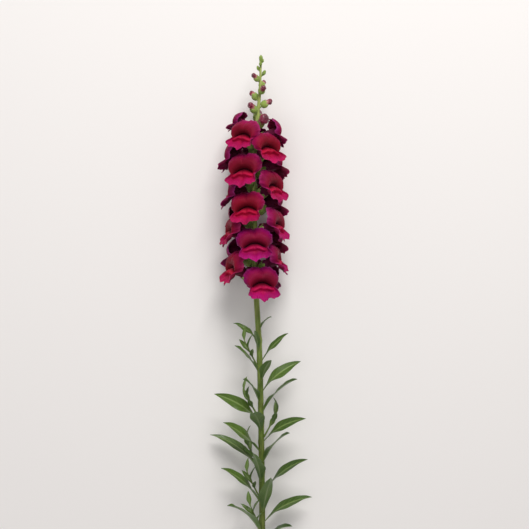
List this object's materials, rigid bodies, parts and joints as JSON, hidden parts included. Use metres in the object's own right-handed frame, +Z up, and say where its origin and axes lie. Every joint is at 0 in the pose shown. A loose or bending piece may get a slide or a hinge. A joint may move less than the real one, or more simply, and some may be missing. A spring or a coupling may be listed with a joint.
{
  "type": "snapdragon stem",
  "caption": "Cut snapdragon stem lying down: a spike of two-lipped crimson florets with buds at its tip, above lance-shaped leaves and leafy side shoots.",
  "frame": {"origin": "middle of the lying stem's bounding box in plan, on the surface it lies on", "axes": "+Y along the stem towards its flowering tip, +Z up from the surface, +X to the right seen from above with the tip away"},
  "size_m": [0.1022, 0.6032, 0.0755],
  "materials": {
    "petal": "matte",
    "bud_petal": "satin",
    "stem_green": "satin",
    "leaf_green": "satin"
  },
  "bodies": {
    "root": {"floret_01": "petal", "floret_02": "petal", "floret_03": "petal", "floret_04": "petal", "floret_05": "petal", "floret_06": "petal", "floret_07": "petal", "floret_08": "petal", "floret_09": "petal", "floret_10": "petal", "floret_11": "petal", "floret_12": "petal", "floret_13": "petal", "floret_14": "petal", "floret_15": "petal", "floret_16": "petal", "floret_17": "petal", "floret_18": "petal", "floret_19": "petal", "floret_20": "petal", "floret_21": "petal", "floret_22": "petal", "floret_23": "petal", "bud_01": "bud_petal", "bud_02": "bud_petal", "bud_03": "bud_petal", "bud_04": "bud_petal", "bud_05": "bud_petal", "bud_06": "bud_petal", "bud_07": "bud_petal", "bud_08": "bud_petal", "leaf_01": "leaf_green", "leaf_02": "leaf_green", "leaf_03": "leaf_green", "leaf_04": "leaf_green", "leaf_05": "leaf_green", "leaf_06": "leaf_green", "leaf_07": "leaf_green", "leaf_08": "leaf_green", "leaf_09": "leaf_green", "leaf_10": "leaf_green", "leaf_11": "leaf_green", "leaf_12": "leaf_green", "leaf_13": "leaf_green", "leaf_14": "leaf_green", "leaf_15": "leaf_green", "leaf_16": "leaf_green", "leaf_17": "leaf_green", "leaf_18": "leaf_green", "leaf_19": "leaf_green", "leaf_20": "leaf_green", "leaf_21": "leaf_green", "leaf_22": "leaf_green", "shoot_01": "leaf_green", "shoot_02": "leaf_green", "shoot_03": "leaf_green", "shoot_04": "leaf_green", "shoot_05": "leaf_green", "shoot_06": "leaf_green", "stem": "stem_green"}
  },
  "joints": []
}
